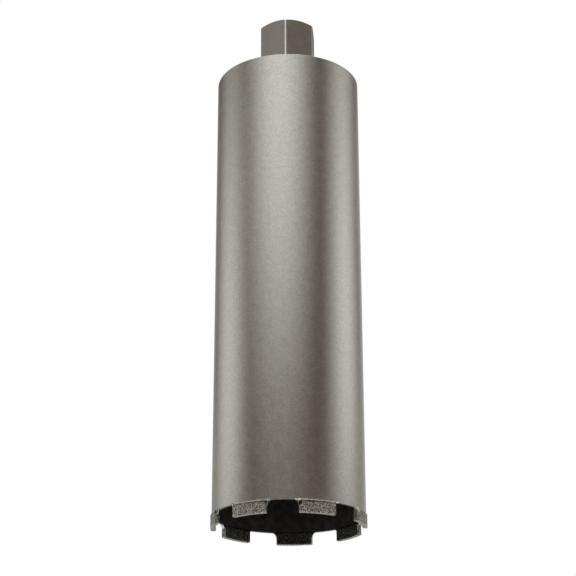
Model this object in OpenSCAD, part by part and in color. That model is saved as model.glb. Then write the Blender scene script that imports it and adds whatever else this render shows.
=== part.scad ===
// Diamond core bit for wet drilling in concrete, in millimetres.
// It stands on its diamond segments: +Z runs up the tube's axis to the threaded hub, and z = 0 is
// the plane of the cutting faces. One segment is centred on +Y and one gullet on -Y.

/* [Tube] */
// Outside diameter of the steel tube
tube_d = 112.8; // [100:0.1:125]
// Wall thickness of the tube
tube_wall = 2; // [1.6:0.1:2.4]
// Drilling depth, from the cutting faces to the end plate
drilling_depth = 355.6; // [200:0.1:450]
// Radius of the dressed rim at the tube's closed end
rim_round = 0.5; // [0.3:0.1:1.5]

/* [End plate] */
// Thickness of the end plate let into the tube
plate_t = 6.6; // [5:0.1:10]
// Width and depth of the weld groove around the end plate
groove = 2.5; // [1.5:0.1:3]

/* [Hub] */
// Width across the flats of the hub's hexagon
hex_af = 42; // [41:0.1:46]
// Height of the hub above the end plate
hub_h = 53.1; // [40:0.1:70]
// Diameter that the hexagon's corners are turned down to, as a share of their full diameter
corner_share = 0.986; // [0.95:0.001:0.995]
// Diameter of the flat land that the turned crown leaves on top of the hub
land_d = 38; // [35:0.5:38]
// Radius of the shallow domes that the hexagon's ends are turned to
crown_r = 43.5; // [42:0.5:60]
// Diameter of the round foot that the hub stands on
foot_d = 40; // [38:0.1:40.5]
// Height of the foot, which keeps its weld clear of the flats
foot_h = 6.5; // [6:0.5:10]
// Diameter of the spigot that locates the hub in the end plate
spigot_d = 36; // [34:0.5:37.5]
// Minor diameter of the hub's female thread
thread_minor_d = 28.2; // [24:0.1:29]
// Diameter of the lead-in chamfer at the thread's mouth
lead_in_d = 33; // [31:0.1:33.5]

/* [Segments] */
// Number of diamond segments around the crown
segment_count = 7; // [5:1:8]
// Angle that one segment spans, in degrees
segment_span = 28; // [22:0.5:32]
// Height of a segment
segment_h = 9; // [7:0.5:12]
// Height that a segment stands proud of the tube's wall, on each side
segment_proud = 0.75; // [0.4:0.05:1]
// Radius worn on a segment's lower edges
segment_edge = 0.5; // [0.2:0.1:0.8]

/* [Brazing] */
// Height that the solder beads climb up the tube's wall
bead_up = 1.6; // [1:0.1:2.5]
// Depth that the solder beads lap over a segment's faces
bead_lap = 0.5; // [0.2:0.1:1]
// Height that a solder bead's face bulges
bead_bulge = 0.45; // [0.2:0.05:0.6]
// Width of a full solder fillet, along the ceiling of a gullet
fillet_w = 2.7; // [1.5:0.1:3]
// Height of a full solder fillet, down the end of a segment
fillet_h = 3.8; // [2:0.1:4.5]
// Share of a full fillet that the leanest fillet has
lean_share = 0.45; // [0.3:0.05:1]

/* [Welds] */
// Leg of the fillet weld around the foot of the hub
weld_leg = 5; // [3:0.5:5.5]
// Height that a weld's face bulges
weld_crown = 0.7; // [0.2:0.1:1]

/* [Hidden] */
$fn = 96;
// Allowance by which a cutting solid runs past the face that it cuts
past = 1;
// Steps in which a small rounded edge is turned
edge_steps = 5;

tube_r = tube_d / 2;
bore_r = tube_r - tube_wall;
plate_z = drilling_depth;
tube_top = plate_z + plate_t;

hub_top = tube_top + hub_h;
hex_corner_r = hex_af / 2 / cos(30);
corner_r = hex_corner_r * corner_share;
foot_r = foot_d / 2;
foot_top = tube_top + foot_h;
// Radius of the land that the lower dome leaves around the foot
under_land_r = foot_r + 0.3;
// Heights of the domes' rims above or below their centres
crown_rise = sqrt(pow(crown_r, 2) - pow(land_d / 2, 2));
under_rise = sqrt(pow(crown_r, 2) - pow(under_land_r, 2));
lead_in_depth = (lead_in_d - thread_minor_d) / 2;

pitch = 360 / segment_count;
segment_out = tube_r + segment_proud;
segment_in = bore_r - segment_proud;

// Points of an arc around a centre, from one angle to another
function arc_points(centre, radius, from, to, steps) = [
    for (k = [0:steps])
        let (a = from + (to - from) * k / steps)
        centre + radius * [cos(a), sin(a)]
];

// Points of a curve that joins two points and bulges by a given height to its left
function bulged_edge(a, b, bulge, steps) = [
    for (k = [0:steps])
        let (t = k / steps, along = b - a, left = [-along.y, along.x] / norm(along))
        a + along * t + left * bulge * 4 * t * (1 - t)
];

// Share of a full solder fillet at an end of segment i: side is 1 for its counterclockwise end
// and -1 for the other. The brazing is done by hand: the ends nearest to the Y axis got full
// fillets, and the others are leaner.
function fillet_share(i, side) =
    let (from_y_axis = abs(cos(90 + (i - 1) * pitch + side * segment_span / 2)))
    from_y_axis < sin(segment_span * 0.6) ? 1 : (side > 0 ? (1 + lean_share) / 2 : lean_share);

// Sweeps a radial section around the Z axis, over an angle centred on the X axis
module sweep(span) {
    rotate([0, 0, -span / 2])
        rotate_extrude(angle = span)
            children();
}

// Places its children at segment i, with +X as the outward direction
module at_segment(i) {
    rotate([0, 0, 90 + (i - 1) * pitch])
        children();
}

module tube_body() {
    rotate_extrude()
        polygon(concat(
            [[bore_r, segment_h], [tube_r, segment_h]],
            arc_points([tube_r - rim_round, tube_top - rim_round], rim_round, 0, 90, edge_steps),
            [[bore_r, tube_top]]
        ));
}

module tube() {
    color("#8f8b83")
        tube_body();
}

// A disc with a bevelled upper edge for the weld, and a hole for the hub's spigot
module end_plate() {
    color("#86827b")
        rotate_extrude()
            polygon([
                [spigot_d / 2, plate_z],
                [bore_r, plate_z],
                [bore_r, tube_top - groove],
                [bore_r - groove, tube_top],
                [spigot_d / 2, tube_top]
            ]);
}

// The weld that fills the groove between the plate and the tube, dressed nearly flush
module plate_weld() {
    color("#79746d")
        rotate_extrude()
            polygon(concat(
                [[bore_r, tube_top - groove]],
                bulged_edge([bore_r, tube_top], [bore_r - groove, tube_top], -weld_crown / 2, edge_steps)
            ));
}

module hexagon(height) {
    rotate([0, 0, 30])
        cylinder(r = hex_corner_r, h = height, $fn = 6);
}

// Hexagon bar with turned corners and domed ends, on its foot and spigot, without its bore
module hub_blank() {
    intersection() {
        translate([0, 0, foot_top])
            hexagon(hub_top - foot_top);
        translate([0, 0, foot_top])
            cylinder(r = corner_r, h = hub_top - foot_top);
        translate([0, 0, hub_top - crown_rise])
            sphere(r = crown_r);
        translate([0, 0, foot_top + under_rise])
            sphere(r = crown_r);
    }
    translate([0, 0, tube_top])
        cylinder(r = foot_r, h = foot_h);
    translate([0, 0, plate_z])
        cylinder(d = spigot_d, h = plate_t);
}

module hub() {
    color("#716b64")
        difference() {
            hub_blank();
            translate([0, 0, plate_z - past])
                cylinder(d = thread_minor_d, h = hub_top - plate_z + 2 * past);
            translate([0, 0, hub_top - lead_in_depth])
                cylinder(d1 = thread_minor_d, d2 = lead_in_d, h = lead_in_depth);
        }
}

// The fillet weld around the hub's foot
module hub_weld() {
    color("#68625b")
        translate([0, 0, tube_top])
            rotate_extrude()
                polygon(concat(
                    [[foot_r, 0]],
                    bulged_edge([foot_r + weld_leg, 0], [foot_r, weld_leg], -weld_crown, edge_steps)
                ));
}

// Radial section of a segment: square where it meets the tube, with worn lower edges
module segment_section() {
    polygon(concat(
        arc_points([segment_in + segment_edge, segment_edge], segment_edge, 180, 270, edge_steps),
        arc_points([segment_out - segment_edge, segment_edge], segment_edge, 270, 360, edge_steps),
        [[segment_out, segment_h], [segment_in, segment_h]]
    ));
}

module segment_body() {
    sweep(segment_span)
        segment_section();
}

module segment(i) {
    color("#716b64")
        at_segment(i)
            segment_body();
}

// Radial section of the solder bead that lies on a segment's proud ledge, against the tube's
// wall: out is 1 on the outside of the tube and -1 on the inside
module bead_section(wall, face, out) {
    polygon(concat(
        [[wall, segment_h]],
        bulged_edge(
            [wall, segment_h + bead_up],
            [face, segment_h - bead_lap],
            out * bead_bulge,
            edge_steps
        ),
        [[face, segment_h]]
    ));
}

// The concave fillet in the corner between a segment's end and the gullet's ceiling. The
// corner lies on the X axis and the fillet runs towards +Y.
module end_fillet(share) {
    width = fillet_w * share;
    height = fillet_h * share;
    // Depth by which the fillet is sunk into the beads, so that they make one solid
    sink = 0.1;
    hollow = [
        for (k = [0:edge_steps])
            let (a = 90 * k / edge_steps)
            [width * (1 - sin(a)), segment_h - height * (1 - cos(a))]
    ];
    intersection() {
        translate([segment_out + past, 0, 0])
            rotate([90, 0, -90])
                linear_extrude(height = segment_out - segment_in + 2 * past)
                    mirror([1, 0])
                        polygon(concat([[0, segment_h]], hollow));
        difference() {
            cylinder(r = segment_out + sink, h = segment_h + past);
            translate([0, 0, -past])
                cylinder(r = segment_in - sink, h = segment_h + 3 * past);
        }
    }
}

module segment_braze(i) {
    // The beads run past the segment's ends, over most of a lean fillet's width
    run_out = 0.8 * lean_share * fillet_w;
    bead_span = segment_span + 2 * run_out / tube_r * 180 / PI;
    color("#b0aea7")
        at_segment(i) {
            sweep(bead_span)
                bead_section(tube_r, segment_out, 1);
            sweep(bead_span)
                bead_section(bore_r, segment_in, -1);
            rotate([0, 0, segment_span / 2])
                end_fillet(fillet_share(i, 1));
            mirror([0, 1, 0])
                rotate([0, 0, segment_span / 2])
                    end_fillet(fillet_share(i, -1));
        }
}

tube();
end_plate();
hub();
hub_weld();
plate_weld();
for (i = [1:segment_count])
    segment(i);
for (i = [1:segment_count])
    segment_braze(i);
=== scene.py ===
# Diamond core bit for wet drilling in concrete: its surfaces, welds, thread and grit, built
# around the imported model. Metres, +Z up the tube's axis, z = 0 at the cutting faces.
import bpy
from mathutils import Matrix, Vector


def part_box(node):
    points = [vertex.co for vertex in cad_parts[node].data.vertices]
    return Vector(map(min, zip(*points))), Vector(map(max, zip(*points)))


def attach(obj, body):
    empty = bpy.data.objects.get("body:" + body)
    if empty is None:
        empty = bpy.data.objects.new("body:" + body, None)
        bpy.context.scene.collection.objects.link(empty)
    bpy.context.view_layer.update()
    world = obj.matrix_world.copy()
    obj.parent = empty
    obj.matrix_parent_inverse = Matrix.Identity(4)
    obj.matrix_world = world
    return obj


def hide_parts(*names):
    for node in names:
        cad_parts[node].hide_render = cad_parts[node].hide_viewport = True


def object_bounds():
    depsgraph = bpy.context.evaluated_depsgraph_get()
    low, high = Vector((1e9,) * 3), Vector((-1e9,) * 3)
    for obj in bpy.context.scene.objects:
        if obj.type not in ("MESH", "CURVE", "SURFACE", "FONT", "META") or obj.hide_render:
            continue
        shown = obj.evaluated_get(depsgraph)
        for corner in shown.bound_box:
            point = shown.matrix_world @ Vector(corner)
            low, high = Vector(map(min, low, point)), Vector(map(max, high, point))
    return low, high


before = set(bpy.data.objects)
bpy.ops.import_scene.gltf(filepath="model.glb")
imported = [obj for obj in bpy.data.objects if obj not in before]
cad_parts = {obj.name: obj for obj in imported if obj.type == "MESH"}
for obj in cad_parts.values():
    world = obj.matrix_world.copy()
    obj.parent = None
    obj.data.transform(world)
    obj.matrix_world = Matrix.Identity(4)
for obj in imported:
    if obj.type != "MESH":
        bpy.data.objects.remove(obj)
cad_box = [list(corner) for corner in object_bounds()]

import math

import bmesh
import bpy
from mathutils import Quaternion, Vector

# Camera
# The photograph looks up at the bit from below its cutting faces, with a long lens, and from a
# little to the right of the gullet that faces the front. It is turned by a hair.
photo_distance = 1.1913
photo_below = math.radians(21.316)
photo_aside = math.radians(4.367)
photo_turn = -0.00231
photo_lens = 96.52
photo_shift = -0.00057
aim_height = 0.18853
aim = Vector((0, 0, aim_height))
away = Vector((
    math.sin(photo_aside) * math.cos(photo_below),
    -math.cos(photo_aside) * math.cos(photo_below),
    -math.sin(photo_below),
))
bpy.ops.object.camera_add(location=aim + away * photo_distance)
camera = bpy.context.object
camera.rotation_mode = "QUATERNION"
camera.rotation_quaternion = (-away).to_track_quat("-Z", "Y") @ Quaternion((0, 0, 1), photo_turn)
camera.data.sensor_width = 36
camera.data.lens = photo_lens
camera.data.shift_x = photo_shift
camera.data.clip_start = 0.05
camera.data.clip_end = 50
bpy.context.scene.camera = camera

# Tube
# One length of drawn steel tube, cut square at its lower end and dressed to a round rim where
# the end plate is welded in. Outside it is blasted to an even satin grain, and inside it keeps
# the dark scale of the mill.
tube_low, tube_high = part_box("tube")
tube_radius = tube_high.x
tube_wall = 0.002
bore_radius = tube_radius - tube_wall
rim_round = 0.0005
cut_edge_break = 0.00015
tube_steps = 288
# Points that are closer together than this are one point
same_point = 1e-6


def pick(piece):
    """Selects one piece alone and makes it the active one."""
    bpy.ops.object.select_all(action="DESELECT")
    piece.select_set(True)
    bpy.context.view_layer.objects.active = piece


def start_section(name, inner, outer, low, high):
    """Adds a flat radial section on the +X side, between two radii and two heights, and leaves
    it in edit mode with all of it selected."""
    bpy.ops.object.select_all(action="DESELECT")
    bpy.ops.mesh.primitive_plane_add(size=1)
    piece = bpy.context.object
    piece.name = piece.data.name = name
    bpy.ops.object.mode_set(mode="EDIT")
    bpy.ops.mesh.select_all(action="SELECT")
    bpy.ops.transform.resize(value=(outer - inner, high - low, 1))
    bpy.ops.transform.rotate(value=math.pi / 2, orient_axis="X", center_override=(0, 0, 0))
    bpy.ops.transform.translate(value=((inner + outer) / 2, 0, (low + high) / 2))
    return piece


def select_points(piece, chosen):
    """In edit mode, selects the points whose place passes a test, with what they enclose."""
    bpy.ops.mesh.select_mode(type="VERT")
    bpy.ops.mesh.select_all(action="DESELECT")
    shape = bmesh.from_edit_mesh(piece.data)
    for point in shape.verts:
        point.select_set(bool(chosen(point.co)))
    shape.select_flush_mode()
    bmesh.update_edit_mesh(piece.data)


def near(value, wanted, within=1e-5):
    """Whether a length is the one that is wanted, but for a hair."""
    return abs(value - wanted) < within


def turn_section_round(piece, steps):
    """Turns the outline of a section all the way round the Z axis and closes the seam."""
    bpy.ops.mesh.select_all(action="SELECT")
    bpy.ops.mesh.delete(type="ONLY_FACE")
    bpy.ops.mesh.select_all(action="SELECT")
    bpy.ops.mesh.spin(steps=steps, angle=math.tau, center=(0, 0, 0), axis=(0, 0, 1))
    bpy.ops.mesh.select_all(action="SELECT")
    bpy.ops.mesh.remove_doubles(threshold=same_point)
    bpy.ops.mesh.normals_make_consistent(inside=False)
    bpy.ops.object.mode_set(mode="OBJECT")


def finish_with(piece, kind, **settings):
    """Adds a modifier with its settings and applies it."""
    pick(piece)
    modifier = piece.modifiers.new(kind.lower(), kind)
    for setting, value in settings.items():
        setattr(modifier, setting, value)
    bpy.ops.object.modifier_apply(modifier=modifier.name)


def shade_piece(piece, degrees):
    """Smooths edges flatter than an angle, and keeps large faces flat beside narrow bevels."""
    pick(piece)
    bpy.ops.object.shade_smooth_by_angle(angle=math.radians(degrees))
    finish_with(piece, "WEIGHTED_NORMAL", keep_sharp=True)


tube = start_section("tube_satin", bore_radius, tube_radius, tube_low.z, tube_high.z)
select_points(tube, lambda p: near(p.x, tube_radius) and near(p.z, tube_high.z))
bpy.ops.mesh.bevel(offset=rim_round, segments=7, affect="VERTICES")
select_points(tube, lambda p: near(p.z, tube_low.z))
bpy.ops.mesh.bevel(offset=cut_edge_break, segments=2, affect="VERTICES")
turn_section_round(tube, tube_steps)
shade_piece(tube, degrees=30)


def new_material(name, colour, metallic, roughness):
    """A material, and the Object coordinates that its grain is built on."""
    material = bpy.data.materials.new(name)
    material.use_nodes = True
    nodes = material.node_tree.nodes
    shader = nodes["Principled BSDF"]
    shader.inputs["Base Color"].default_value = (*colour, 1)
    shader.inputs["Metallic"].default_value = metallic
    shader.inputs["Roughness"].default_value = roughness
    place = nodes.new("ShaderNodeTexCoord")
    return material, place.outputs["Object"]


def grain(material, place, size, detail=3, stretch=(1, 1, 1)):
    """Noise whose grains are about as wide as size, in metres. Returns its 0 to 1 output."""
    nodes, links = material.node_tree.nodes, material.node_tree.links
    mapping = nodes.new("ShaderNodeMapping")
    mapping.inputs["Scale"].default_value = [s / size for s in stretch]
    noise = nodes.new("ShaderNodeTexNoise")
    noise.inputs["Scale"].default_value = 1
    noise.inputs["Detail"].default_value = detail
    links.new(place, mapping.inputs["Vector"])
    links.new(mapping.outputs["Vector"], noise.inputs["Vector"])
    return noise.outputs["Fac"]


def ramp(material, source, stops):
    """Turns a 0 to 1 value into a grey or a colour, through stops of (place, grey or colour)."""
    nodes, links = material.node_tree.nodes, material.node_tree.links
    node = nodes.new("ShaderNodeValToRGB")
    points = node.color_ramp.elements
    while len(points) < len(stops):
        points.new(0.5)
    for point, (where, what) in zip(points, stops):
        point.position = where
        point.color = (*what, 1) if isinstance(what, tuple) else (what, what, what, 1)
    links.new(source, node.inputs["Fac"])
    return node.outputs["Color"]


def average(material, first, second, share):
    """Mixes two values: share is how much the second one counts."""
    nodes, links = material.node_tree.nodes, material.node_tree.links
    mix = nodes.new("ShaderNodeMix")
    mix.inputs["Factor"].default_value = share
    links.new(first, mix.inputs[2])
    links.new(second, mix.inputs[3])
    return mix.outputs[0]


def give_surface(material, colour, roughness, height, depth):
    """Links a material's colour and roughness, and gives it bumps of a depth in metres."""
    nodes, links = material.node_tree.nodes, material.node_tree.links
    shader = nodes["Principled BSDF"]
    links.new(colour, shader.inputs["Base Color"])
    links.new(roughness, shader.inputs["Roughness"])
    bump = nodes.new("ShaderNodeBump")
    bump.inputs["Distance"].default_value = depth
    links.new(height, bump.inputs["Height"])
    links.new(bump.outputs["Normal"], shader.inputs["Normal"])


satin, place = new_material("blasted satin steel", (0.61, 0.597, 0.547), metallic=1, roughness=0.34)
satin_mottle = grain(satin, place, size=0.005, detail=5)
blasting = grain(satin, place, size=0.0011, detail=2)
blasted = average(satin, satin_mottle, blasting, share=0.7)
give_surface(
    satin,
    colour=ramp(satin, blasted, [(0.42, (0.555, 0.540, 0.493)), (0.58, (0.670, 0.655, 0.603))]),
    roughness=ramp(satin, satin_mottle, [(0.3, 0.33), (0.7, 0.36)]),
    height=blasting,
    depth=0.00002,
)

scale, place = new_material("dark mill scale", (0.10, 0.085, 0.085), metallic=0.3, roughness=0.6)
scale_patches = grain(scale, place, size=0.006, detail=6)
give_surface(
    scale,
    colour=ramp(scale, scale_patches, [(0.35, (0.21, 0.178, 0.175)), (0.7, (0.43, 0.387, 0.375))]),
    roughness=ramp(scale, scale_patches, [(0.3, 0.5), (0.7, 0.7)]),
    height=scale_patches,
    depth=0.0001,
)

tube.data.materials.append(satin)
tube.data.materials.append(scale)
for face in tube.data.polygons:
    facing_axis = face.normal.x * face.center.x + face.normal.y * face.center.y < 0
    upright = abs(face.normal.z) < 0.5
    face.material_index = 1 if facing_axis and upright else 0
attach(tube, "root")
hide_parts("tube")

# End plate
# A turned steel disc that closes the tube, let in flush with the rim. It is faced on a lathe, so
# fine rings run round its upper side, browned a little by the heat of the two welds.
plate_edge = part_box("end_plate")[1].x
# Distances from the axis: the brown round the hub's weld is gone at the second, and the brown
# along the rim's weld starts at the third and is full at the fourth.
hub_brown_full = 0.025
hub_brown_gone = 0.030
rim_brown_gone = plate_edge - 0.006
rim_brown_full = plate_edge - 0.002
hub_brown = (0.40, 0.34, 0.26)
rim_brown = (0.40, 0.35, 0.28)
fine_rings_a_metre = 2500
tool_marks_a_metre = 700


def distance_from_axis(material, place):
    """The distance of a surface point from the Z axis, in metres."""
    nodes, links = material.node_tree.nodes, material.node_tree.links
    flatten = nodes.new("ShaderNodeVectorMath")
    flatten.operation = "MULTIPLY"
    flatten.inputs[1].default_value = (1, 1, 0)
    length = nodes.new("ShaderNodeVectorMath")
    length.operation = "LENGTH"
    links.new(place, flatten.inputs[0])
    links.new(flatten.outputs["Vector"], length.inputs[0])
    return length.outputs["Value"]


def lathe_rings(material, from_axis, a_metre, detail):
    """Noise that changes only with the distance from the axis. Returns its 0 to 1 output."""
    nodes, links = material.node_tree.nodes, material.node_tree.links
    rings = nodes.new("ShaderNodeTexNoise")
    rings.noise_dimensions = "1D"
    rings.inputs["Scale"].default_value = a_metre
    rings.inputs["Detail"].default_value = detail
    links.new(from_axis, rings.inputs["W"])
    return rings.outputs["Fac"]


def spread(material, value, low, high, to_low=0.0, to_high=1.0):
    """Maps a value's range from low to high onto another range, and stops at its ends."""
    nodes, links = material.node_tree.nodes, material.node_tree.links
    node = nodes.new("ShaderNodeMapRange")
    ends = {"From Min": low, "From Max": high, "To Min": to_low, "To Max": to_high}
    for end, number in ends.items():
        node.inputs[end].default_value = number
    links.new(value, node.inputs["Value"])
    return node.outputs["Result"]


def blend_colours(material, factor, first, second):
    """Mixes two colours, each a colour or the output of a node."""
    nodes, links = material.node_tree.nodes, material.node_tree.links
    mix = nodes.new("ShaderNodeMix")
    mix.data_type = "RGBA"
    links.new(factor, mix.inputs["Factor"])
    for socket, colour in ((mix.inputs[6], first), (mix.inputs[7], second)):
        if isinstance(colour, tuple):
            socket.default_value = (*colour, 1)
        else:
            links.new(colour, socket)
    return mix.outputs[2]


faced, place = new_material("faced plate steel", (0.50, 0.49, 0.455), metallic=1, roughness=0.33)
plate_distance = distance_from_axis(faced, place)
fine_rings = lathe_rings(faced, plate_distance, fine_rings_a_metre, detail=3)
tool_marks = lathe_rings(faced, plate_distance, tool_marks_a_metre, detail=2)
clouds = average(faced, grain(faced, place, size=0.012, detail=4), tool_marks, share=0.6)
bare = ramp(faced, clouds, [(0.38, (0.45, 0.44, 0.405)), (0.62, (0.56, 0.55, 0.515))])
near_hub = spread(faced, plate_distance, hub_brown_full, hub_brown_gone, 1.0, 0.0)
near_rim = spread(faced, plate_distance, rim_brown_gone, rim_brown_full)
browned = blend_colours(faced, near_hub, bare, hub_brown)
give_surface(
    faced,
    colour=blend_colours(faced, near_rim, browned, rim_brown),
    roughness=ramp(faced, fine_rings, [(0.3, 0.28), (0.7, 0.38)]),
    height=fine_rings,
    depth=0.00004,
)
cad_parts["end_plate"].data.materials.clear()
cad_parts["end_plate"].data.materials.append(faced)

# Hub
# Turned from hexagon bar, 42 mm across its flats: domed ends, corners just skimmed, a round foot
# that is welded to the plate, a spigot that fits its hole, and a 1-1/4 in - 7 UNC thread that is
# tapped right through.
hub_low, hub_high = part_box("hub")
half_flats = hub_high.x
corner_share = 0.986
corner_radius = half_flats / math.cos(math.radians(30)) * corner_share
hub_top = hub_high.z
plate_top = tube_high.z
spigot_radius = 0.018
foot_radius = 0.020
foot_height = 0.0065
foot_top = plate_top + foot_height
dome_radius = 0.0435
top_land = 0.019
land_past_foot = 0.0003
under_land = foot_radius + land_past_foot
lower_dome_steps = 5
upper_dome_steps = 6
hub_steps = 180
hub_edge_break = 0.00012
shortest_edge = 2.2 * hub_edge_break
smallest_flat_area = 0.0005
sharp_edge = math.radians(20)


def dome_rings(land, rim, steps):
    """Radius and drop below the land of the rings of a dome, from its land to its rim."""
    first, last = math.asin(land / dome_radius), math.asin(rim / dome_radius)
    angles = [first + (last - first) * k / steps for k in range(steps + 1)]
    return [
        (dome_radius * math.sin(a), dome_radius * (math.cos(first) - math.cos(a))) for a in angles
    ]


def stack_rings(name, steps, rings):
    """Builds a turned solid from its rings, each a radius and a height, from bottom to top."""
    radius, height = rings[0]
    bpy.ops.object.select_all(action="DESELECT")
    bpy.ops.mesh.primitive_circle_add(vertices=steps, radius=radius, fill_type="NGON")
    piece = bpy.context.object
    piece.name = piece.data.name = name
    bpy.ops.object.mode_set(mode="EDIT")
    bpy.ops.mesh.select_all(action="SELECT")
    bpy.ops.transform.translate(value=(0, 0, height))
    for next_radius, next_height in rings[1:]:
        rise = (0, 0, next_height - height)
        bpy.ops.mesh.extrude_region_move(TRANSFORM_OT_translate={"value": rise})
        grow = next_radius / radius
        bpy.ops.transform.resize(value=(grow, grow, 1), center_override=(0, 0, next_height))
        radius, height = next_radius, next_height
    bpy.ops.mesh.select_all(action="SELECT")
    bpy.ops.mesh.normals_make_consistent(inside=False)
    bpy.ops.object.mode_set(mode="OBJECT")
    return piece


def cut_away(piece, cutter):
    """Cuts a solid out of a piece and deletes the cutter."""
    finish_with(piece, "BOOLEAN", operation="DIFFERENCE", solver="EXACT", object=cutter)
    bpy.data.objects.remove(cutter)


def flat_direction(flat):
    """The outward direction of one of the hexagon's flats, counted from the +X side."""
    bearing = math.radians(60 * flat)
    return Vector((math.cos(bearing), math.sin(bearing), 0))


lower_dome = [
    (radius, foot_top + drop)
    for radius, drop in dome_rings(under_land, corner_radius, lower_dome_steps)
]
upper_dome = [
    (radius, hub_top - drop)
    for radius, drop in reversed(dome_rings(top_land, corner_radius, upper_dome_steps))
]
hub = stack_rings("hub_threaded", hub_steps, [
    (spigot_radius, hub_low.z),
    (spigot_radius, plate_top),
    (foot_radius, plate_top),
    (foot_radius, foot_top),
    *lower_dome,
    *upper_dome,
])
bpy.ops.object.mode_set(mode="EDIT")
for flat in range(6):
    outward = flat_direction(flat)
    bpy.ops.mesh.select_all(action="SELECT")
    bpy.ops.mesh.bisect(
        plane_co=outward * half_flats, plane_no=outward, use_fill=True, clear_outer=True
    )
# The cuts leave edges that are too short to break, and closing them up tilts the flats a little,
# so the points of each flat are put back in its plane.
bpy.ops.mesh.select_all(action="SELECT")
bpy.ops.mesh.dissolve_degenerate(threshold=shortest_edge)
shape = bmesh.from_edit_mesh(hub.data)
for face in shape.faces:
    upright = abs(face.normal.z) < 0.01
    if upright and face.calc_area() > smallest_flat_area:
        outward = flat_direction(round(math.atan2(face.normal.y, face.normal.x) / math.radians(60)))
        for point in face.verts:
            point.co -= outward * (point.co.dot(outward) - half_flats)
bmesh.update_edit_mesh(hub.data)
bpy.ops.mesh.select_mode(type="EDGE")
bpy.ops.mesh.select_all(action="DESELECT")
bpy.ops.mesh.edges_select_sharp(sharpness=sharp_edge)
bpy.ops.mesh.bevel(offset=hub_edge_break, segments=2, affect="EDGES")
bpy.ops.object.mode_set(mode="OBJECT")

inch = 0.0254
thread_pitch = inch / 7
thread_major = 1.25 * inch / 2
thread_minor = 0.0141
crest_width = 0.001125
root_width = 0.000454
flank = (thread_pitch - root_width - crest_width) / 2
# The tap runs past the hub at both ends
tap_start = hub_low.z - 2.5 * thread_pitch
tap_turns = 22
tap_steps = 72
most_wall_corners = 8
mouth_radius = 0.0165
countersink_steps = 144
countersink_past = 0.001


def draw_outline(name, points):
    """Draws a line through (radius, height) points on the +X side, and leaves it in edit mode."""
    bpy.ops.object.select_all(action="DESELECT")
    bpy.ops.mesh.primitive_plane_add(size=0.001)
    piece = bpy.context.object
    piece.name = piece.data.name = name
    bpy.ops.object.mode_set(mode="EDIT")
    bpy.ops.mesh.select_mode(type="VERT")
    bpy.ops.mesh.select_all(action="SELECT")
    bpy.ops.mesh.merge(type="CENTER")
    radius, height = points[0]
    bpy.ops.transform.translate(value=(radius, 0, height))
    for next_radius, next_height in points[1:]:
        step = (next_radius - radius, 0, next_height - height)
        bpy.ops.mesh.extrude_region_move(TRANSFORM_OT_translate={"value": step})
        radius, height = next_radius, next_height
    return piece


# The tap starts as one turn of the thread's outline, which a Screw modifier winds upwards. Its
# two open ends, which have far more corners than its walls' faces, are closed to a point.
tap = draw_outline("tap", [
    (thread_minor, tap_start),
    (thread_minor, tap_start + crest_width),
    (thread_major, tap_start + crest_width + flank),
    (thread_major, tap_start + thread_pitch - flank),
    (thread_minor, tap_start + thread_pitch),
])
bpy.ops.object.mode_set(mode="OBJECT")
finish_with(
    tap,
    "SCREW",
    screw_offset=thread_pitch,
    iterations=tap_turns,
    steps=tap_steps,
    render_steps=tap_steps,
)
bpy.ops.object.mode_set(mode="EDIT")
bpy.ops.mesh.select_all(action="SELECT")
bpy.ops.mesh.remove_doubles(threshold=same_point)
bpy.ops.mesh.fill_holes(sides=0)
bpy.ops.mesh.select_mode(type="FACE")
bpy.ops.mesh.select_all(action="DESELECT")
shape = bmesh.from_edit_mesh(tap.data)
for face in shape.faces:
    face.select_set(len(face.verts) > most_wall_corners)
bmesh.update_edit_mesh(tap.data)
bpy.ops.mesh.poke()
bpy.ops.mesh.select_all(action="SELECT")
bpy.ops.mesh.normals_make_consistent(inside=False)
bpy.ops.object.mode_set(mode="OBJECT")
cut_away(hub, tap)
mouth_slope = mouth_radius - thread_minor
countersink = stack_rings("countersink", countersink_steps, [
    (thread_minor - countersink_past, hub_top - mouth_slope - countersink_past),
    (mouth_radius + countersink_past, hub_top + countersink_past),
])
cut_away(hub, countersink)
shade_piece(hub, degrees=25)

bar, place = new_material("drawn hexagon steel", (0.60, 0.585, 0.54), metallic=1, roughness=0.33)
drawn = grain(bar, place, size=0.0006, detail=4, stretch=(1, 1, 0.04))
scuffs = grain(bar, place, size=0.0012)
worn = average(bar, grain(bar, place, size=0.005, detail=5), scuffs, share=0.6)
give_surface(
    bar,
    colour=ramp(bar, worn, [(0.40, (0.555, 0.54, 0.497)), (0.60, (0.645, 0.63, 0.583))]),
    roughness=ramp(bar, drawn, [(0.3, 0.30), (0.7, 0.38)]),
    height=drawn,
    depth=0.00001,
)
hub.data.materials.clear()
hub.data.materials.append(bar)
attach(hub, "root")
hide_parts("hub")

# Welds
# Two runs of weld metal laid while the bit turns: an even fillet round the hub's foot, left with
# its ripples, and a seam that fills the groove round the plate and is ground almost flush.
fillet_leg = 0.005
fillet_bulge = 0.0007
fillet_face_steps = 14
fillet_sunk = 0.0002
fillet_steps = 900
fillet_half_face = fillet_leg * 0.7
# The ripples: how many there are round the foot, how high they are, how many half ripples the
# fillet's edges trail behind its middle, how far their spacing drifts and how often round the
# foot, and how sharp the valleys between them and how high their level is
ripple_count = 90
ripple_height = 0.00022
ripple_lag = 1.4
ripple_drift = 0.8
drifts_round = 5
ripple_power = 0.6
ripple_level = 0.6
seam_width = 0.0025
seam_bulge = 0.00035
seam_face_steps = 8
seam_steps = 720
seam_ground_to = plate_top + 0.00025
# What the grinding left of the seam's ripples
wave_count = 150
wave_height = 0.00003
wave_drift = 2
wave_drifts_round = 3


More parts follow.
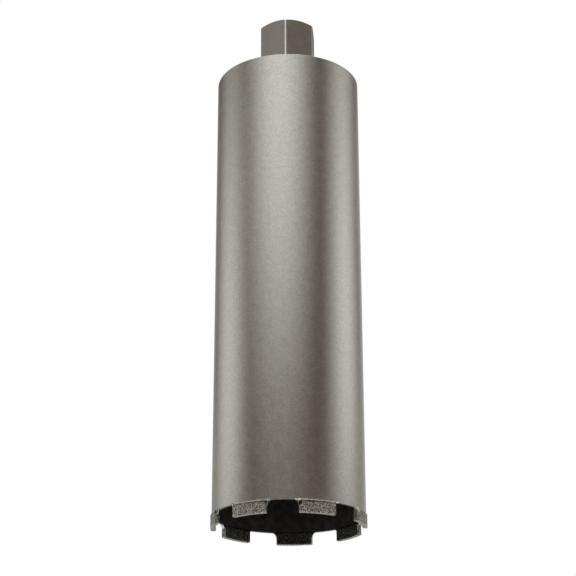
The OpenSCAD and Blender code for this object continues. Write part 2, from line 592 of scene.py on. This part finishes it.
def bulged(first, last, rise, steps):
    """Points from first to last of a curve that bulges by rise to the right of its way."""
    way = last - first
    across = Vector((way.y, -way.x)).normalized()
    shares = [k / steps for k in range(steps + 1)]
    return [first + way * t + across * rise * 4 * t * (1 - t) for t in shares]


def limited(value, low=0, high=1):
    """A value, or the limit that it is past."""
    return max(low, min(high, value))


fillet_face = bulged(
    Vector((foot_radius + fillet_leg, plate_top)),
    Vector((foot_radius, plate_top + fillet_leg)),
    fillet_bulge,
    fillet_face_steps,
)
fillet_root = (foot_radius - fillet_sunk, plate_top)
hub_weld = draw_outline("hub_weld_bead", [fillet_root, *fillet_face, fillet_root])
turn_section_round(hub_weld, fillet_steps)
fillet_middle = Vector((foot_radius + fillet_leg / 2, plate_top + fillet_leg / 2))
up_the_face = Vector((-1, 1)).normalized()
for point in hub_weld.data.vertices:
    radius = math.hypot(point.co.x, point.co.y)
    up = (Vector((radius, point.co.z)) - fillet_middle).dot(up_the_face)
    share = limited(up / fillet_half_face, -1, 1)
    bearing = math.atan2(point.co.y, point.co.x)
    lag = ripple_lag * share * share
    phase = bearing * ripple_count + lag * math.pi + ripple_drift * math.sin(drifts_round * bearing)
    swell = abs(math.sin(phase / 2)) ** ripple_power - ripple_level
    rise = ripple_height * swell * (1 - share ** 4)
    outward = Vector((point.co.x / radius, point.co.y / radius, 1)).normalized()
    if radius > foot_radius and point.co.z > plate_top + same_point:
        point.co += outward * rise
shade_piece(hub_weld, degrees=60)

seam_face = bulged(
    Vector((bore_radius, plate_top)),
    Vector((bore_radius - seam_width, plate_top)),
    seam_bulge,
    seam_face_steps,
)
seam_root = (bore_radius, plate_top - seam_width)
plate_weld = draw_outline("plate_weld_seam", [seam_root, *seam_face, seam_root])
turn_section_round(plate_weld, seam_steps)
for point in plate_weld.data.vertices:
    if point.co.z > plate_top + same_point:
        bearing = math.atan2(point.co.y, point.co.x)
        phase = bearing * wave_count + wave_drift * math.sin(wave_drifts_round * bearing)
        point.co.z = min(point.co.z + math.sin(phase) * wave_height, seam_ground_to)
shade_piece(plate_weld, degrees=60)

weld_steel, place = new_material("weld metal", (0.45, 0.43, 0.40), metallic=1, roughness=0.36)
oxide = grain(weld_steel, place, size=0.003, detail=5)
give_surface(
    weld_steel,
    colour=ramp(weld_steel, oxide, [
        (0.3, (0.30, 0.26, 0.22)),
        (0.5, (0.45, 0.43, 0.39)),
        (0.7, (0.50, 0.49, 0.47)),
    ]),
    roughness=ramp(weld_steel, oxide, [(0.3, 0.45), (0.7, 0.30)]),
    height=grain(weld_steel, place, size=0.0003),
    depth=0.00003,
)
for bead, node in ((hub_weld, "hub_weld"), (plate_weld, "plate_weld")):
    bead.data.materials.append(weld_steel)
    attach(bead, "root")
    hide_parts(node)

# Segments
# Seven blocks pressed and sintered from metal powder and diamond grit, curved to the tube and a
# little thicker than its wall. They are brazed to its end, then dressed, so that grains and pits
# show on every side and the lower edges are worn round.
segment_count = 7
segment_span = math.radians(28)
segment_inner = 0.05365
segment_outer = 0.05715
segment_height = tube_low.z
segment_wear = 0.0004
segment_steps = 28
grit_voxel = 0.00027
segment_pitch = math.tau / segment_count
segment_bearings = [math.pi / 2 + i * segment_pitch for i in range(segment_count)]
# A dark line is painted between two heights, just below the joint, as painted shade under the
# solder bead. It is faint everywhere, and darker in patches as the list below says for each
# segment: how dark it is at its clockwise end and at its other end, seen from above.
painted_shade_dark = (0.085, 0.065, 0.05)
painted_shade_faint = (0.15, 0.15, 0.15)
shade_line_strength = [(0, 0), (0, 0), (0, 0), (0, 1.6), (1.5, 0.1), (0, 0), (0, 0)]
shade_line_low = 0.0076
shade_line_high = 0.0085
shade_line_edge = 0.0001


def lumps(name, kind, size, **settings):
    """A texture for the Displace modifier, with lumps about as wide as size, in metres."""
    texture = bpy.data.textures.new(name, kind)
    texture.noise_scale = size
    for setting, value in settings.items():
        setattr(texture, setting, value)
    return texture


def keep_between(point, inner, outer):
    """Moves a point of a mesh towards or from the Z axis, until it lies between two radii."""
    radius = math.hypot(point.co.x, point.co.y)
    share = limited(radius, inner, outer) / radius
    point.co.x *= share
    point.co.y *= share


def bearing_from(middle, place):
    """The angle round the Z axis from a bearing to a place, at most half a turn either way."""
    return math.remainder(math.atan2(place.y, place.x) - middle, math.tau)


block = start_section("segment_block", segment_inner, segment_outer, 0, segment_height)
select_points(block, lambda p: near(p.z, 0))
bpy.ops.mesh.bevel(offset=segment_wear, segments=4, affect="VERTICES")
bpy.ops.mesh.select_all(action="SELECT")
# With no window, the rotate and spin operators both turn clockwise for a positive angle.
bpy.ops.transform.rotate(value=-segment_span / 2, orient_axis="Z", center_override=(0, 0, 0))
bpy.ops.mesh.spin(steps=segment_steps, angle=segment_span, center=(0, 0, 0), axis=(0, 0, 1))
bpy.ops.mesh.select_all(action="SELECT")
bpy.ops.mesh.normals_make_consistent(inside=False)
bpy.ops.object.mode_set(mode="OBJECT")
finish_with(block, "REMESH", mode="VOXEL", voxel_size=grit_voxel, use_smooth_shade=True)

pressed = lumps("pressing", "CLOUDS", size=0.003, noise_depth=2)
grains = lumps("grains", "VORONOI", size=0.0008, distance_metric="DISTANCE")
pits = lumps("pits", "CLOUDS", size=0.0006, noise_depth=1)


def split(material, place):
    """The X, Y and Z outputs of a place."""
    nodes, links = material.node_tree.nodes, material.node_tree.links
    parts = nodes.new("ShaderNodeSeparateXYZ")
    links.new(place, parts.inputs[0])
    return parts.outputs


def marked(material, name):
    """How strongly an attribute marks each point of a piece."""
    mark = material.node_tree.nodes.new("ShaderNodeAttribute")
    mark.attribute_name = name
    return mark.outputs["Fac"]


matrix, place = new_material("sintered matrix", (0.36, 0.345, 0.32), metallic=1, roughness=0.45)
clumps = grain(matrix, place, size=0.0008, detail=6)
speckle = ramp(matrix, clumps, [
    (0.36, (0.035, 0.027, 0.022)),
    (0.48, (0.325, 0.30, 0.265)),
    (0.58, (0.72, 0.69, 0.625)),
])
# The dark line below the joint is painted shade, standing for the shadow under the solder bead
above_floor = split(matrix, place)["Z"]
painted_shade_patches = ramp(matrix, grain(matrix, place, size=0.008, detail=2), [(0.40, 0.2), (0.55, 1.0)])
shade_line_darkness = blend_colours(matrix, marked(matrix, "shade line strength"), painted_shade_faint, painted_shade_patches)
shaded_speckle = blend_colours(matrix, shade_line_darkness, speckle, painted_shade_dark)
above_shade_line = spread(matrix, above_floor, shade_line_low - shade_line_edge, shade_line_low + shade_line_edge)
under_joint = spread(matrix, above_floor, shade_line_high - shade_line_edge, shade_line_high + shade_line_edge)
lined = blend_colours(matrix, above_shade_line, speckle, shaded_speckle)
give_surface(
    matrix,
    colour=blend_colours(matrix, under_joint, lined, speckle),
    roughness=ramp(matrix, clumps, [(0.3, 0.6), (0.7, 0.38)]),
    height=grain(matrix, place, size=0.0004, detail=4),
    depth=0.0002,
)

for i, middle in enumerate(segment_bearings):
    segment = block.copy()
    segment.data = block.data.copy()
    segment.name = segment.data.name = f"segment_grit_{i + 1}"
    bpy.context.collection.objects.link(segment)
    pick(segment)
    segment.rotation_euler.z = middle
    bpy.ops.object.transform_apply(location=False, rotation=True, scale=False)
    finish_with(segment, "DISPLACE", texture=pressed, strength=0.00014, mid_level=0.5)
    finish_with(segment, "DISPLACE", texture=grains, strength=0.00018, mid_level=0.4)
    finish_with(segment, "DISPLACE", texture=pits, strength=0.00016, mid_level=0.5)
    # Dressing grinds off whatever stands out of the block's own faces.
    for point in segment.data.vertices:
        keep_between(point, segment_inner, segment_outer)
        point.co.z = limited(point.co.z, 0, segment_height)
    # How dark the painted shade line is at each point along this segment
    clockwise_end, other_end = shade_line_strength[i]
    shade_line_marks = segment.data.attributes.new("shade line strength", "FLOAT", "POINT")
    for point, mark in zip(segment.data.vertices, shade_line_marks.data):
        share = bearing_from(middle, point.co) / segment_span + 0.5
        mark.value = limited(clockwise_end + (other_end - clockwise_end) * share)
    segment.data.materials.append(matrix)
    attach(segment, "root")
    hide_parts(f"segment_{i + 1}")
bpy.data.objects.remove(block)

# Brazing
# Silver solder run in by hand round each joint: a bead along both ledges, a fillet in each corner
# of the gullets, and drops where the rod was lifted off. Painted shade blackens the fillets'
# sides, the solder inside the bore and some of the drops.
bead_voxel = 0.0002
# The beads are flatter than the solids' and the fillets a little fuller. A fillet narrows from
# the segment's thickness to less than the wall's within its neck.
bead_flat = 0.45
fillet_fuller = 1.25
fillet_neck = 0.0009
fillet_outer = tube_radius - 0.0003
fillet_inner = bore_radius + 0.0002
# Painted shade: below the first height here it blackens what faces away from the axis, as the
# shade in the fillets' recesses: nothing up to the first share and all from the second share above
# that. Inside the radius after them it blackens everything, as the shade inside the tube.
shade_top = segment_height - 0.0004
shade_facing = 0.65
shade_within = 0.1
shade_inside = bore_radius + 0.0004
painted_shade_black = (0.035, 0.028, 0.022)
drop_bright = (0.94, 0.93, 0.89)
drop_roughness = (0.12, 0.12, 0.12)
drop_radius = segment_outer - 0.0001
# A drop colours the solder round it as far as this many times its own size
drop_reach = 1.2
mm = 0.001
# The drops on each joint, in millimetres: which end of the segment they are at, -1 for its
# clockwise end and 1 for the other, how far past it and how far above the ledge they sit, half
# their length, height and depth, and how each is coloured, from -1 for black painted shade to 1
# for bright clean solder.
# A later drop lies over an earlier one.
joint_drops = [
    [(-1, 0.8, 0.3, 0.8, 0.6, 0.6, 0.3), (1, 0.6, 0.1, 0.7, 0.6, 0.6, 0.3)],
    [(-1, 0.5, 0.2, 0.7, 0.7, 0.6, 0.3), (1, 0.9, 0.3, 1.1, 0.6, 0.6, 0.3)],
    [(-1, 0.7, 0.4, 0.7, 0.6, 0.6, 0.3), (1, 1.3, -1.0, 1.8, 1.4, 0.5, -1)],
    [
        (-1, 0.0, 0.5, 0.9, 0.55, 0.7, -0.6),
        (-1, 0.0, -0.7, 0.65, 0.7, 0.8, 1),
        (1, -1.2, 0.3, 1.6, 0.5, 0.25, -0.4),
        (1, 1.2, 0.5, 0.6, 0.4, 0.5, 0.2),
        (1, 0.3, -2.1, 0.8, 1.8, 0.3, -1),
    ],
    [
        (-1, 2.4, 0.3, 0.7, 0.4, 0.5, 0.7),
        (-1, 0.0, 0.05, 1.2, 0.8, 0.9, 1),
        (-1, -0.7, -2.4, 1.5, 1.8, 0.35, -1),
        (1, 1.8, 0.2, 0.8, 0.7, 0.7, 1),
    ],
    [
        (-1, 0.0, 0.2, 0.7, 0.6, 0.5, 0.8),
        (-1, -1.2, -0.5, 0.9, 0.7, 0.35, 1),
        (-1, -2.4, -1.6, 0.9, 0.9, 0.3, 0.6),
        (1, 0.8, 0.2, 0.7, 0.6, 0.6, 0.3),
    ],
    [(-1, 0.6, 0.3, 0.9, 0.6, 0.6, 0.3), (1, 1.0, 0.2, 0.7, 0.6, 0.6, 0.3)],
]
uneven = lumps("uneven solder", "CLOUDS", size=0.0022, noise_depth=1)

solder, place = new_material("silver solder", (0.68, 0.66, 0.61), metallic=0.75, roughness=0.28)
solder_mottle = grain(solder, place, size=0.0016, detail=5)
bright = ramp(solder, solder_mottle, [
    (0.3, (0.60, 0.58, 0.54)),
    (0.48, (0.74, 0.72, 0.67)),
    (0.7, (0.84, 0.82, 0.77)),
])
frozen = ramp(solder, solder_mottle, [(0.3, 0.40), (0.6, 0.26)])
clean_drop = marked(solder, "bright drop")
# Where the solder is painted black as shade: in recesses, inside the bore and on dark drops
painted_shade = marked(solder, "painted shade")
cleaner = blend_colours(solder, clean_drop, bright, drop_bright)
give_surface(
    solder,
    colour=blend_colours(solder, painted_shade, cleaner, painted_shade_black),
    roughness=blend_colours(
        solder, clean_drop, average(solder, frozen, painted_shade, share=0.25), drop_roughness
    ),
    height=grain(solder, place, size=0.0004),
    depth=0.00004,
)

for i, middle in enumerate(segment_bearings):
    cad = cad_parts[f"segment_braze_{i + 1}"]
    braze = bpy.data.objects.new(f"braze_{i + 1}", cad.data.copy())
    braze.data.name = braze.name
    bpy.context.collection.objects.link(braze)
    pick(braze)
    bpy.ops.object.mode_set(mode="EDIT")
    bpy.ops.mesh.select_all(action="SELECT")
    bpy.ops.mesh.remove_doubles(threshold=same_point)
    bpy.ops.object.mode_set(mode="OBJECT")
    for point in braze.data.vertices:
        above = point.co.z - segment_height
        bearing = bearing_from(middle, point.co)
        past_end = abs(bearing) - segment_span / 2
        if above > 0:
            point.co.z = segment_height + above * bead_flat
        elif past_end > 0:
            point.co.z = segment_height + above * fillet_fuller
            turn = math.copysign(past_end * (fillet_fuller - 1), bearing)
            point.co.rotate(Quaternion((0, 0, 1), turn))
    drops = []
    drop_marks = []
    for end, past_end, above, half_length, half_height, half_depth, clean_or_shaded in joint_drops[i]:
        bearing = middle + end * (segment_span / 2 + past_end * mm / tube_radius)
        centre = Vector((math.cos(bearing), math.sin(bearing), 0)) * drop_radius
        centre.z = segment_height + above * mm
        bpy.ops.object.select_all(action="DESELECT")
        bpy.ops.mesh.primitive_uv_sphere_add(
            segments=24, ring_count=16, radius=1, location=centre, rotation=(0, 0, bearing)
        )
        drop = bpy.context.object
        drop.scale = (half_depth * mm, half_length * mm, half_height * mm)
        bpy.context.view_layer.update()
        drops.append(drop)
        drop_marks.append((drop.matrix_world.inverted(), clean_or_shaded))
    pick(braze)
    for drop in drops:
        drop.select_set(True)
    bpy.ops.object.join()
    finish_with(braze, "REMESH", mode="VOXEL", voxel_size=bead_voxel, use_smooth_shade=True)
    for point in braze.data.vertices:
        past_end = (abs(bearing_from(middle, point.co)) - segment_span / 2) * tube_radius
        if past_end > 0 and point.co.z < segment_height:
            narrowed = min(1, past_end / fillet_neck)
            outer = segment_outer + (fillet_outer - segment_outer) * narrowed
            inner = segment_inner + (fillet_inner - segment_inner) * narrowed
            keep_between(point, inner, outer)
    finish_with(braze, "SMOOTH", factor=0.5, iterations=3)
    finish_with(braze, "DISPLACE", texture=uneven, strength=0.0003, mid_level=0.4)
    braze.data.attributes.new("painted shade", "FLOAT", "POINT")
    braze.data.attributes.new("bright drop", "FLOAT", "POINT")
    shade_marks = braze.data.attributes["painted shade"].data
    shine_marks = braze.data.attributes["bright drop"].data
    # Marks the painted shade on the fillets' recessed sides, inside the bore and on dark drops, and
    # marks the bright clean drops
    for point, shade_mark, shine in zip(braze.data.vertices, shade_marks, shine_marks):
        radius = math.hypot(point.co.x, point.co.y)
        facing_out = (point.normal.x * point.co.x + point.normal.y * point.co.y) / radius
        if radius < shade_inside:
            shade_mark.value = 1
        elif point.co.z < shade_top:
            shade_mark.value = limited((facing_out - shade_facing) / shade_within)
        for into_drop, clean_or_shaded in drop_marks:
            if (into_drop @ point.co).length < drop_reach:
                shine.value = max(0, clean_or_shaded)
                shade_mark.value = max(0, -clean_or_shaded)
    for point in braze.data.vertices:
        point.co.x = limited(point.co.x, cad_box[0][0], cad_box[1][0])
        point.co.y = limited(point.co.y, cad_box[0][1], cad_box[1][1])
    braze.data.materials.clear()
    braze.data.materials.append(solder)
    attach(braze, "root")
    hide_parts(f"segment_braze_{i + 1}")

# Floor
# A pale sheet just below the cutting faces, which is only there from above. It fades into the
# white round it, and steel sees a painted glow in it: painted shade inside the crown, a bright
# painted ring below the crown and dim outside.
floor_gap = 0.0002
floor_size = 6
floor_colour = (0.78, 0.78, 0.77)
# How much light is added where the floor is seen, near the bit and where it has faded away, and
# the distances from the axis between which it fades
seen_near = 0.22
seen_far = 0.54
fade_start = 0.4
fade_end = 2.6
# How bright the floor's painted glow is in the steel, and the radii between which that changes
mirrored_inside = 0.02
mirrored_below = 0.55
mirrored_outside = 0.17
crown_inner_edge = (0.050, 0.054)
crown_outer_edge = (0.058, 0.075)
bpy.ops.object.select_all(action="DESELECT")
bpy.ops.mesh.primitive_plane_add(size=floor_size, location=(0, 0, -floor_gap))
floor = bpy.context.object
floor.name = "floor"


def calculate(material, operation, *values):
    """A Math node, in a material or a world: each value is a number or the output of a node."""
    nodes, links = material.node_tree.nodes, material.node_tree.links
    node = nodes.new("ShaderNodeMath")
    node.operation = operation
    for socket, value in zip(node.inputs, values):
        if isinstance(value, (int, float)):
            socket.default_value = value
        else:
            links.new(value, socket)
    return node.outputs[0]


pale = bpy.data.materials.new("pale floor")
pale.use_nodes = True
nodes, links = pale.node_tree.nodes, pale.node_tree.links
nodes.clear()
ray = nodes.new("ShaderNodeLightPath").outputs
from_axis = distance_from_axis(pale, nodes.new("ShaderNodeTexCoord").outputs["Object"])
seen = calculate(pale, "MAXIMUM", ray["Is Camera Ray"], ray["Is Transmission Ray"])
seen_level = spread(pale, from_axis, fade_start, fade_end, seen_near, seen_far)
inner_level = spread(pale, from_axis, *crown_inner_edge, mirrored_inside, mirrored_below)
outer_level = spread(pale, from_axis, *crown_outer_edge, mirrored_below, mirrored_outside)
mirrored_level = calculate(pale, "MINIMUM", inner_level, outer_level)
glow_level = calculate(
    pale,
    "ADD",
    calculate(pale, "MULTIPLY", seen, seen_level),
    calculate(pale, "MULTIPLY", mirrored_level, ray["Is Glossy Ray"]),
)
floor_glow = nodes.new("ShaderNodeEmission")
links.new(glow_level, floor_glow.inputs["Strength"])
matt = nodes.new("ShaderNodeBsdfDiffuse")
matt.inputs["Color"].default_value = (*floor_colour, 1)
top_side = nodes.new("ShaderNodeAddShader")
links.new(matt.outputs["BSDF"], top_side.inputs[0])
links.new(floor_glow.outputs["Emission"], top_side.inputs[1])
see_through = nodes.new("ShaderNodeBsdfTransparent")
one_sided = nodes.new("ShaderNodeMixShader")
links.new(nodes.new("ShaderNodeNewGeometry").outputs["Backfacing"], one_sided.inputs["Fac"])
links.new(top_side.outputs["Shader"], one_sided.inputs[1])
links.new(see_through.outputs["BSDF"], one_sided.inputs[2])
floor_output = nodes.new("ShaderNodeOutputMaterial")
links.new(one_sided.outputs["Shader"], floor_output.inputs["Surface"])
floor.data.materials.append(pale)

# Surround
# White all round, and out of sight a ring of dark flags with six soft windows in it, so that
# satin steel shows soft dark bands.
# How strongly the white lights the bit. Where it is seen or mirrored, it is plain white.
world_level = 0.6
world = bpy.data.worlds.new("white surround")
bpy.context.scene.world = world
bpy.context.scene.view_settings.view_transform = "Standard"
world.use_nodes = True
world.cycles.sampling_method = "NONE"
nodes, links = world.node_tree.nodes, world.node_tree.links
nodes.clear()
ray = nodes.new("ShaderNodeLightPath").outputs
seen = calculate(world, "MAXIMUM", ray["Is Camera Ray"], ray["Is Glossy Ray"])
seen_through = calculate(world, "MAXIMUM", seen, ray["Is Transmission Ray"])
white = nodes.new("ShaderNodeBackground")
white.inputs["Color"].default_value = (1, 1, 1, 1)
links.new(spread(world, seen_through, 0, 1, world_level, 1), white.inputs["Strength"])
world_output = nodes.new("ShaderNodeOutputWorld")
links.new(white.outputs["Background"], world_output.inputs["Surface"])

surround_radius = 0.9
surround_height = 1.6
flag_colour = (0.045, 0.017, 0.003)
# Each window is an opening for the white light: its bearing from the camera with half its width
# and how soft its sides are, in degrees, the height of its lower edge and of its upper edge, each
# with how soft it is, in metres, and how much light it lets in.
windows = {
    "front": ((-14, 38, 33), (0.43, 0.19), (3.0, 0.2), 1.0),
    "left": ((-100, 25, 20), (0.14, 0.06), (0.81, 0.35), 0.86),
    "right": ((95, 24, 23), (0.19, 0.19), (0.94, 0.44), 1.0),
    "back": ((176, 26, 24), (-0.3, 0.1), (0.84, 0.17), 1.0),
    "low left": ((-143, 24, 16), (-0.3, 0.1), (0.365, 0.08), 0.30),
    "low right": ((141, 24, 16), (-0.3, 0.1), (0.42, 0.16), 0.33),
}


def soft_step(material, value, middle, softness, rising=True):
    """A smooth step from 0 to 1 at a middle, or from 1 to 0 where it isn't rising."""
    before, after = (0, 1) if rising else (1, 0)
    step = spread(material, value, middle - softness, middle + softness, before, after)
    step.node.interpolation_type = "SMOOTHSTEP"
    return step


flags = bpy.data.materials.new("dark flags")
flags.use_nodes = True
flags.cycles.emission_sampling = "NONE"
nodes, links = flags.node_tree.nodes, flags.node_tree.links
nodes.clear()
x, y, height = split(flags, nodes.new("ShaderNodeTexCoord").outputs["Object"])
from_front = calculate(flags, "ARCTAN2", x, calculate(flags, "MULTIPLY", y, -1))
bearing = calculate(flags, "DEGREES", from_front)
let_in = 0.0
for (middle, half_width, softness), lower_edge, upper_edge, level in windows.values():
    off_middle = calculate(flags, "WRAP", calculate(flags, "SUBTRACT", bearing, middle), 180, -180)
    aside = calculate(flags, "ABSOLUTE", off_middle)
    between_sides = soft_step(flags, aside, half_width, softness, rising=False)
    above = soft_step(flags, height, *lower_edge)
    below = soft_step(flags, height, *upper_edge, rising=False)
    opening = calculate(flags, "MULTIPLY", calculate(flags, "MULTIPLY", between_sides, above), below)
    let_in = calculate(flags, "MAXIMUM", let_in, calculate(flags, "MULTIPLY", opening, level))
flag_glow = nodes.new("ShaderNodeEmission")
links.new(blend_colours(flags, let_in, flag_colour, (1, 1, 1)), flag_glow.inputs["Color"])
flag_output = nodes.new("ShaderNodeOutputMaterial")
links.new(flag_glow.outputs["Emission"], flag_output.inputs["Surface"])
bpy.ops.object.select_all(action="DESELECT")
bpy.ops.mesh.primitive_cylinder_add(
    vertices=96, radius=surround_radius, depth=surround_height, end_fill_type="NOTHING"
)
surround = bpy.context.object
surround.name = "surround"
bpy.ops.object.mode_set(mode="EDIT")
bpy.ops.mesh.select_all(action="SELECT")
bpy.ops.transform.translate(value=(0, 0, surround_height / 2))
bpy.ops.object.mode_set(mode="OBJECT")
surround.rotation_euler.z = photo_aside
surround.data.materials.append(flags)
surround.visible_camera = False
surround.visible_diffuse = False
surround.visible_shadow = False
